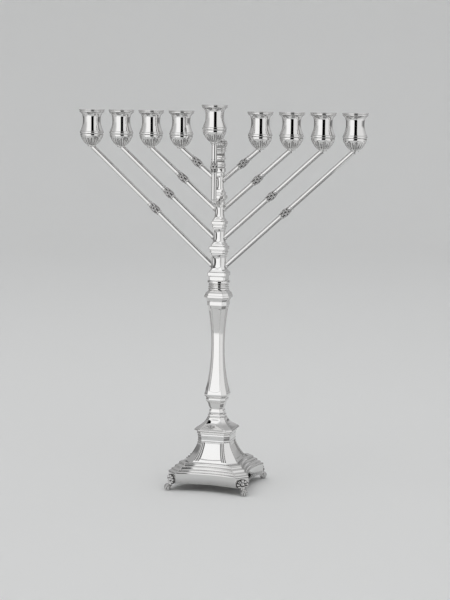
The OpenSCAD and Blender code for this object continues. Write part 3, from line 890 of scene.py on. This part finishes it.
def make_column():
    for node, (curves, (low, high, share, depth, bow)) in SHAFTS.items():
        make_squared(f"panelled_{node}", node, curves, panel=sunk_panel(low, high, share, depth, bow),
                     sag=hollow(low, high, SHAFT_HOLLOW), marks=border(share), spots=(low, high),
                     edge=0.16, round_off=0.2)
    make_squared("moulded_capital", "capital", cants(CAPITAL, CAPITAL_CUT), panel=scrolls, edge=0.14,
                 flat_steps=40, spots=SCROLLS_Z, round_off=0.18)
    make_turned("turned_finial", "finial", FINIAL, bore=0.1)


# ---- base
BELL = [
    [(28.8, 0, 9.3), (27.6, 0.8, 9.1), (22.7, 8, 7.5), (18.9, 15.2, 5.7), (17.7, 19, 5.1),
     (17.35, 20.4, 5)],
    [(17.35, 20.6, 5)], [(17.7, 21, 5.1), (17.7, 22.2, 5.1)], [(17.4, 22.6, 5), (17.45, 25.8, 5)],
    [(17.8, 26.2, 5.1), (17.8, 27.8, 5.1)], [(17.55, 28.2, 5), (17.6, 29, 5)]]
BELL_PANEL = (4.4, 20.2)
REED_AT = (1.4, 3.4)  # middles of the reeds, from the edge of a flat
# places of the painted shade lines between and beside the reeds, from the edge of a flat
REED_GAPS = (0.35, 2.4, 4.4)
REED_STEP = 0.0125
REED_SCALE = 15.0  # the flats' mean half width, so that the reeds draw together upwards
SHOULDER = [
    [(18.2, 0, 5.2)], [(18.5, 0.4, 5.2), (18.6, 1.4, 5.2)], [(18.3, 1.8, 5.2)],
    [(19.3, 2.6, 5.5), (20.5, 3.4, 5.7)], [(20.9, 4, 5.8), (20.7, 5, 5.8)],
    [(19.6, 6.2, 5.5), (17, 8, 5), (13.4, 10.6, 4.4), (11, 13.4, 3.9), (10.3, 14.8, 3.8)],
    [(9.9, 15.2, 3.7)], [(9.6, 16, 3.6), (9.3, 17, 3.5)]]
STEPS = [
    [(44, 0), (44, 10.9)], [(43.6, 11.5)], [(42, 12.1)], [(41.4, 12.6), (41.4, 13.4)],
    [(41, 13.9)], [(39.2, 14.4), (38.4, 15.2), (38.2, 16.3)], [(37.8, 16.9)], [(36, 17.3)],
    [(35, 17.9), (34.5, 18.8)], [(34.5, 19.8)], [(34.1, 20.4)]]
PLINTH_WALL = 1.8
PLINTH_HOLE = 25.0  # radius of the hole under the bell
PLINTH_EDGE = 0.6
BASE_HALF, BASE_CUT, BASE_SAG = 44.0, 11.3, 5.5


def bell_face(u, z, kind, _w):
    """Two reeds along each edge of the bell's flats, and a sunk panel with a bowed foot, with painted
    shade between the reeds and along the panel's edge.
    """
    low, high = BELL_PANEL
    if kind == CANT:
        return 0.0, 0.0
    from_edge = (1 - abs(u)) * REED_SCALE
    ends = smoothstep(1.2, 2.4, z) * (1 - smoothstep(high - 0.2, high + 0.3, z))
    reed = max(ridge(from_edge - at, 0.95) for at in REED_AT)
    gap = max(ridge(from_edge - at, 0.6) for at in REED_GAPS)
    curve = 1.8 * (1 - u * u)
    inside = min(from_edge - 4.7, high - 0.4 - z, z - low + curve)
    inset = 0.55 * smoothstep(0.0, 0.5, inside) - 0.6 * reed * ends
    return inset, clamp01(0.95 * gap * ends + 0.5 * ridge(inside - 0.3, 0.35))


def shoulder_face(u, z, kind, _w):
    """A low arched field across the foot of each of the shoulder's flats, with a painted shade line along
    its edge.
    """
    if kind == CANT:
        return 0.0, 0.0
    inside = min(9.6 - 4.2 * u * u - z, z - 4.6)
    return 0.45 * smoothstep(0.0, 0.4, inside), 0.6 * ridge(inside - 0.25, 0.3)


def bell_sag(h, _z):
    return 1.5 * clamp01((h - 17.7) / 11.2)


def plinth_sag(h, _z):
    return BASE_SAG * h / BASE_HALF


def make_plinth():
    """The pressed plinth: stepped outside, hollow inside, with a round hole under the bell."""
    outside = [(h, z, BASE_CUT * h / BASE_HALF)
               for h, z, _ in outline(STEPS, 0.3)]
    head = outside[-1][1]
    inside = [(h - PLINTH_WALL, max(z - PLINTH_WALL, 0.0), BASE_CUT * (h - PLINTH_WALL) / BASE_HALF)
              for h, z, _ in reversed(outside)]
    stations = side_stations(28, ())
    build = Builder()
    outer = square_rings(build, outside, plinth_sag, stations, PLINTH_EDGE, None)
    rim = round_ring(build, outer[-1], PLINTH_HOLE, head)
    lip = round_ring(build, outer[-1], PLINTH_HOLE, head - PLINTH_WALL)
    inner = square_rings(build, inside, plinth_sag, stations, PLINTH_EDGE, None)
    build.bridge_all([outer[-1], rim, lip, inner[0]])
    build.bridge(inner[-1], outer[0])
    build.move(raised(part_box("base_plinth")[1].z / MM - head))
    new_piece("stepped_plinth", build, "stand", "base_plinth", POLISHED)


def make_base():
    make_plinth()
    reeds = [1 - REED_STEP * i for i in range(1, 30)]
    make_squared("reeded_bell", "base_bell", BELL, panel=bell_face, sag=bell_sag, marks=reeds,
                 spots=BELL_PANEL, bore=ROD_HOLE, edge=0.2)
    make_squared("domed_shoulder", "base_shoulder", SHOULDER, panel=shoulder_face, flat_steps=36,
                 sag=hollow(7.0, 14.2, 0.15), spots=(4.6, 7.0, 9.6), bore=ROD_HOLE)


# ---- feet
PETALS = 8
HEART = 0.3  # the flower's round heart, as a share of its radius
PLAQUE_R = 6.0
PLAQUE_HALF = 7.3
PLAQUE_TALL = 5.2
PLAQUE_Z = 11.6
PLAQUE_RIM = 0.7
PLAQUE_SPOKES, PLAQUE_RINGS = 96, 26
TOE_R = 3.9
TOE_LOBES = 8
TOE_REACH = 4.9
TOE_STEPS = 40
NECK_REACH = 2.1


def petal_height(r, angle):
    """Thickness of the flower plaque at a place on its face, and how much painted shade it gets there."""
    share = r / PLAQUE_R
    if share < HEART:
        return 1.9 + 1.9 * math.sqrt(1 - (share / HEART) ** 2), 0.1
    wave = abs(math.cos(angle * PETALS / 2))
    crown = wave ** 0.6
    swell = math.sin(clamp01((share - HEART) / 0.7) * math.pi) ** 0.6
    tip = 1 - smoothstep(0.82 + 0.14 * crown, 0.9 + 0.14 * crown, share)
    vein = 0.35 * ridge(math.acos(min(1.0, wave)) / 1.57, 0.16) * swell
    height = 0.8 + 2.5 * crown * swell * tip - vein
    ditch = ridge(share - 0.33, 0.07)
    return max(PLAQUE_RIM, height - 0.7 * ditch), clamp01(1.15 - 1.3 * crown * swell * tip + 0.5 * ditch)


def add_plaque(build):
    """The flower plaque, facing outwards along X."""
    rings = []
    for i in range(1, PLAQUE_RINGS + 1):
        r = PLAQUE_R * i / PLAQUE_RINGS
        ring, shades = [], []
        for angle in circle(PLAQUE_SPOKES):
            height, dark = petal_height(r, angle)
            height = height if i < PLAQUE_RINGS else PLAQUE_RIM
            ring.append((r * math.cos(angle), r * math.sin(angle), height))
            shades.append(dark)
        rings.append(build.ring(ring, shades))
    for lower, upper in zip(rings, rings[1:]):
        build.bridge(upper, lower)
    build.cap(rings[0], (0, 0, petal_height(0.0, 0.0)[0]), False)
    back = build.ring([(x, y, 0.0) for x, y, _ in (build.verts[i] for i in rings[-1])])
    build.bridge(back, rings[-1])
    build.cap(back, (0, 0, 0), True)
    stretch = Matrix.Diagonal((PLAQUE_TALL / PLAQUE_R, PLAQUE_HALF / PLAQUE_R, 1.0, 1.0))
    build.move(raised(PLAQUE_Z) @ Matrix.Rotation(math.radians(90), 4, "Y") @ stretch)


def toe_shape(angle, _r, z):
    """A lobed ball with a ring between two grooves at its neck, and painted shade in the grooves and
    between the lobes.
    """
    ring = ridge(z - 5.2, 0.5)
    groove = max(ridge(z - 4.5, 0.35), ridge(z - 6.0, 0.35))
    valley = 1 - smoothstep(0.05, 0.8, abs(math.sin(angle * TOE_LOBES / 2)))
    lobes = valley * smoothstep(0.7, 1.4, z) * (1 - smoothstep(3.8, 4.4, z))
    return 0.35 * ring - 0.3 * groove - 0.5 * lobes, max(0.95 * groove, 1.1 * lobes)


def add_toe(build):
    """The ball under the plaque, cut off flat where it stands."""
    first = len(build.verts)
    ball = [(TOE_R * math.sin(a), TOE_R - 0.4 - TOE_R * math.cos(a))
            for a in (math.radians(lerp(27, 172, i / TOE_STEPS)) for i in range(TOE_STEPS + 1))]
    build.cap_ends(lathe(build, ball, 64, toe_shape), ball[0][1], ball[-1][1])
    build.move(raised(0, TOE_REACH), first)


def add_neck(build):
    """The flattened neck that joins the plaque's back to the ball."""
    first = len(build.verts)
    neck = outline([[(2.9, 2.6), (2.5, 4.6), (2.3, 7.0), (2.6, 9.4)]], 0.2)
    build.cap_ends(lathe(build, neck, TUBE_SEGMENTS), 2.6, 9.4)
    build.move(raised(0, NECK_REACH) @ Matrix.Diagonal((0.72, 1.0, 1.0, 1.0)), first)


def make_foot(name, node, turn):
    """A flower plaque that faces outwards over a lobed ball toe, with a short neck between them."""
    build = Builder()
    add_plaque(build)
    add_toe(build)
    add_neck(build)
    corner = (BASE_HALF * 2 - BASE_CUT) / math.sqrt(2)
    build.move(Matrix.Rotation(math.radians(turn), 4, "Z") @ raised(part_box(node)[0].z / MM, corner))
    new_piece(name, build, "stand", node, RELIEF)


def make_feet():
    for place, turn in (("front_left", 225), ("front_right", 315), ("back_left", 135), ("back_right", 45)):
        make_foot(f"rosette_foot_{place}", f"foot_{place}", turn)


# ---- stage
SPOKES = 96
FLOOR_COLOUR = (0.79, 0.79, 0.785)
FLOOR_FLAT, FLOOR_CURVE, WALL_TOP = 2.6, 1.3, 3.4
SKY_COLOUR, SKY_STRENGTH = (0.98, 0.99, 1.0), 0.85
SOFTBOXES = (("softbox_left", -50), ("softbox_right", 60))  # name, azimuth
SOFTBOX_PLACE = (1.3, 2.1)  # distance, height
SOFTBOX_SIZE = 1.8
SOFTBOX_RADIANCE = 0.45
SOFTBOX_AIM = Vector((0, 0, 0.2))

# (azimuth, radiance) stops round the tent: in a band level with the cups, and elsewhere
TENT_BAND = ((-180, 0.30), (-160, 0.12), (-115, 0.12), (-89, 0.44), (-65, 0.76), (-41, 1.14), (3, 1.14),
             (7, 0), (38, 0), (42, 0.90), (86, 0.90), (97, 0.70), (110, 0.28), (140, 0.18),
             (160, 0.45), (180, 0.30))
TENT_REST = ((-180, 0.45), (-115, 0.42), (-60, 0.62), (-41, 1.14), (3, 1.14), (7, 0), (38, 0),
             (42, 0.90), (100, 0.90), (130, 0.60), (180, 0.45))
BAND_FOOT = (0.10, 0.18)  # heights over which the band comes in
BAND_HEAD = (0.62, 0.42)  # and over which it has gone again, from the top down
TENT_R = 1.3
TENT_TOP = 2.4
TENT_FLOOR_R = 0.66  # inside it the real floor is seen
CLOTH_LIFT = 0.002  # how far the cloths on the floor lie above it
ROOF_RADIANCE = 0.62
WING_RADIANCE = 0.26
WING_X, WING_Y = (0.10, 0.34), (-0.30, 0.16)


def around(azimuth, distance, height):
    """A place in the studio: azimuth 0 is in front of the object, 90 to its right."""
    a = math.radians(azimuth)
    return Vector((math.sin(a) * distance, -math.cos(a) * distance, height))


def revolved(rings):
    """Vertices through (radius, height) rings about the Z axis."""
    return [(r * math.cos(a), r * math.sin(a), z) for r, z in rings for a in circle(SPOKES)]


def make_room():
    """A pale matt floor that curves up into a wall all round, so that no horizon shows."""
    profile = [(FLOOR_FLAT * i / 6, 0.0) for i in range(1, 7)]
    profile += [(FLOOR_FLAT + FLOOR_CURVE * math.sin(a), FLOOR_CURVE * (1 - math.cos(a)))
                for a in (math.radians(7.5 * i) for i in range(1, 13))]
    profile.append((FLOOR_FLAT + FLOOR_CURVE, WALL_TOP))
    verts = revolved(profile)
    centre = len(verts)
    verts.append((0, 0, 0))
    faces = [(s, (s + 1) % SPOKES, centre) for s in range(SPOKES)]
    for low in range(0, centre - SPOKES, SPOKES):
        high = low + SPOKES
        faces += [(low + s, high + s, high + (s + 1) % SPOKES, low + (s + 1) % SPOKES)
                  for s in range(SPOKES)]
    material, _, shader = surface("pale_floor", "BsdfPrincipled", "BSDF", Roughness=1.0)
    shader.inputs["Base Color"].default_value = (*FLOOR_COLOUR, 1)
    shader.inputs["Specular IOR Level"].default_value = 0.0
    mesh = new_mesh("floor", verts, faces, material)
    mesh.shade_smooth()
    floor = in_scene("floor", mesh)
    floor.location.z = cad_lo.z


def make_softbox(name, azimuth):
    """A soft square light that only matt surfaces see."""
    light = bpy.data.lights.new(name, "AREA")
    light.shape = "RECTANGLE"
    light.size, light.size_y = SOFTBOX_SIZE, SOFTBOX_SIZE
    light.energy = SOFTBOX_RADIANCE * math.pi * SOFTBOX_SIZE * SOFTBOX_SIZE
    lamp = in_scene(name, light)
    lamp.location = around(azimuth, *SOFTBOX_PLACE)
    lamp.rotation_euler = (SOFTBOX_AIM - lamp.location).to_track_quat("-Z", "Y").to_euler()
    lamp.visible_camera = False
    lamp.visible_glossy = False


def make_reflector(name, verts, faces, material):
    """A stage surface that only the polished metal sees."""
    reflector = in_scene(name, new_mesh(name, verts, faces, material))
    reflector.visible_camera = False
    reflector.visible_shadow = False
    reflector.visible_diffuse = False


def make_tent_part(name, inner, outer, material):
    """A reflector of revolution between two (radius, height) rings."""
    faces = [(s, (s + 1) % SPOKES, SPOKES + (s + 1) % SPOKES, SPOKES + s) for s in range(SPOKES)]
    make_reflector(name, revolved([inner, outer]), faces, material)


def make_wing(name, side):
    """A dark cloth on the floor under one side's cups, that only the polished metal sees."""
    (near_x, far_x), (front, back) = WING_X, WING_Y
    corners = ((near_x, front), (far_x, front), (far_x, back), (near_x, back))
    make_reflector(name, [(side * x, y, CLOTH_LIFT) for x, y in corners], [(0, 1, 2, 3)],
                   even_light(name, WING_RADIANCE))


def radiance_ramp(share, stops):
    """A ramp over the azimuth, with share running from 0 behind, by the left, to 1 behind."""
    curve = add(share.id_data, "ValToRGB")
    elements = curve.color_ramp.elements
    while len(elements) < len(stops):
        elements.new(1.0)
    for element, (azimuth, radiance) in zip(elements, stops):
        element.position = (azimuth + 180) / 360
        element.color = (radiance, radiance, radiance, 1)
    link(share, "Result", curve, "Fac")
    return curve


def tent_cloth():
    """Light that changes with the azimuth round the object, in a band and in the rest of the tent."""
    material, tree, light = surface("tent_cloth", "Emission", "Emission")
    place = add(tree, "TexCoord")
    split = add(tree, "SeparateXYZ")
    link(place, "Object", split, "Vector")
    depth = add(tree, "Math", operation="MULTIPLY")
    link(split, "Y", depth, 0)
    depth.inputs[1].default_value = -1.0
    angle = add(tree, "Math", operation="ARCTAN2")
    link(split, "X", angle, 0)
    link(depth, "Value", angle, 1)
    share = remap(angle, "Value", -math.pi, math.pi)
    band = add(tree, "Math", operation="MULTIPLY")
    for number, (start, end) in enumerate((BAND_FOOT, BAND_HEAD)):
        link(remap(split, "Z", start, end, kind="SMOOTHSTEP"), "Result", band, number)
    mix = add(tree, "Mix", data_type="RGBA")
    link(band, "Value", mix, "Factor")
    link(radiance_ramp(share, TENT_REST), "Color", mix, "A")
    link(radiance_ramp(share, TENT_BAND), "Color", mix, "B")
    link(mix, "Result", light, "Color")
    return material


def even_light(name, radiance):
    return surface(name, "Emission", "Emission", Strength=radiance)[0]


def make_stage():
    make_room()
    world = bpy.data.worlds.new("studio")
    bpy.context.scene.world = world
    world.use_nodes = True
    background = world.node_tree.nodes["Background"]
    background.inputs["Color"].default_value = (*SKY_COLOUR, 1)
    background.inputs["Strength"].default_value = SKY_STRENGTH
    for name, azimuth in SOFTBOXES:
        make_softbox(name, azimuth)

    cloth = tent_cloth()
    make_tent_part("tent_wall", (TENT_R, 0.0), (TENT_R, TENT_TOP), cloth)
    make_tent_part("tent_floor", (TENT_FLOOR_R, CLOTH_LIFT), (TENT_R, CLOTH_LIFT), cloth)
    make_tent_part("tent_roof", (0.001, TENT_TOP), (TENT_R, TENT_TOP),
                   even_light("roof_light", ROOF_RADIANCE))
    for side_name, side in SIDES:
        make_wing(f"wing_{side_name}", side)


# ---- camera
VIEW_AZIMUTH, VIEW_ELEVATION, VIEW_ROLL = 15.25, 7.24, 0.71  # degrees
VIEW_DISTANCE = 4.128  # as a share of the object's height
VIEW_SHIFT = Vector((0.0176, 0, -0.0064))  # from the object's middle to the picture's
LENS = 94.7


def make_camera():
    """The viewpoint: a little to the right of the front and just above the rims."""
    azimuth, elevation, roll = (math.radians(a) for a in (VIEW_AZIMUTH, VIEW_ELEVATION, VIEW_ROLL))
    height = cad_hi.z - cad_lo.z
    target = (cad_lo + cad_hi) / 2 + VIEW_SHIFT * height
    back = Vector((math.sin(azimuth) * math.cos(elevation),
                   -math.cos(azimuth) * math.cos(elevation), math.sin(elevation)))
    level = Vector((math.cos(azimuth), math.sin(azimuth), 0))
    upright = back.cross(level)
    right = level * math.cos(roll) + upright * math.sin(roll)
    up = upright * math.cos(roll) - level * math.sin(roll)
    data = bpy.data.cameras.new("camera")
    data.sensor_width = 36.0
    data.lens = LENS
    camera = in_scene("camera", data)
    turn = Matrix((right, up, back)).transposed().to_4x4()
    camera.matrix_world = Matrix.Translation(target + back * VIEW_DISTANCE * height) @ turn
    bpy.context.scene.camera = camera


make_camera()
make_stage()
make_cups()
make_sleeves()
make_stem()
make_column()
make_base()
make_feet()
make_arms()

# The hardware stays in view; pieces stand in for all the other nodes.
HARDWARE = ("tie_rod", "tie_washer", "tie_nut", "foot_screws", "cup_screws", "servant_screw")
for node_name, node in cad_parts.items():
    node.data.materials.clear()
    node.data.materials.append(STEEL if node_name in HARDWARE else POLISHED)
    node.data.shade_smooth()

bpy.context.scene.view_settings.view_transform = "Standard"
